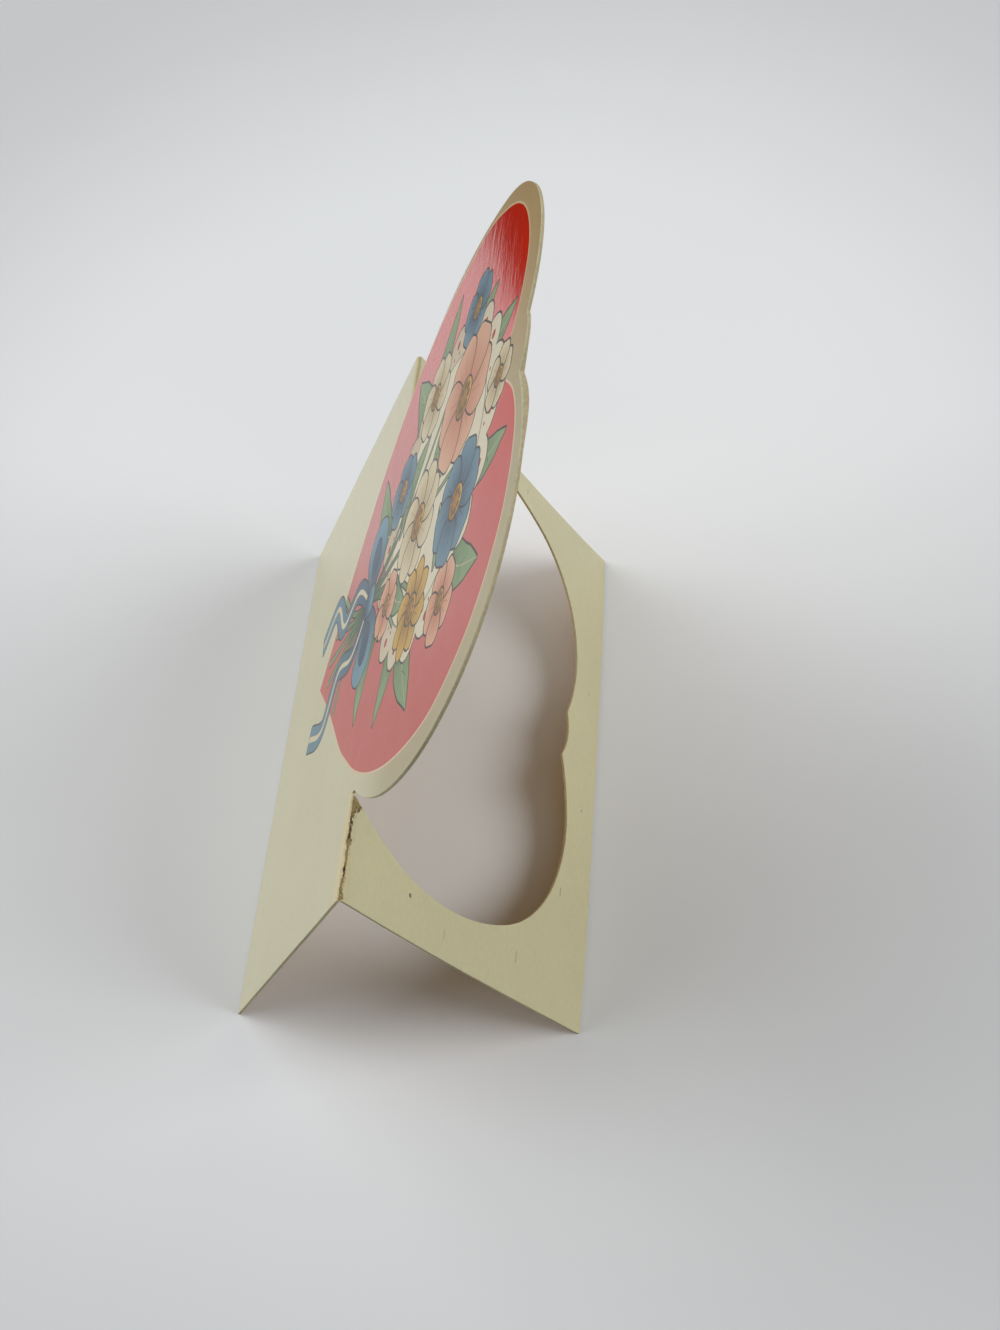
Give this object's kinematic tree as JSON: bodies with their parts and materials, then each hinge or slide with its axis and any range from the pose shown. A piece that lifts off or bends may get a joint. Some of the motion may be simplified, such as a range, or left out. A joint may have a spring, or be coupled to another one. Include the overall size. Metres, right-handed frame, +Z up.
{
  "type": "greeting card",
  "caption": "Stand-up die-cut greeting card: one sheet of paperboard folded into a tent, with a heart that stands up past the fold and its matching opening in the rear panel.",
  "frame": {"origin": "on the table under the fold, midway along it", "axes": "+X along the fold, towards the end whose fold is cracked; the front panel and its heart face -Y; +Z up"},
  "size_m": [0.127, 0.0781, 0.1496],
  "materials": {
    "paperboard": "aged cream paperboard, printed and varnished on the outer face, raw inside"
  },
  "bodies": {
    "root": {"card": "paperboard"}
  },
  "joints": []
}
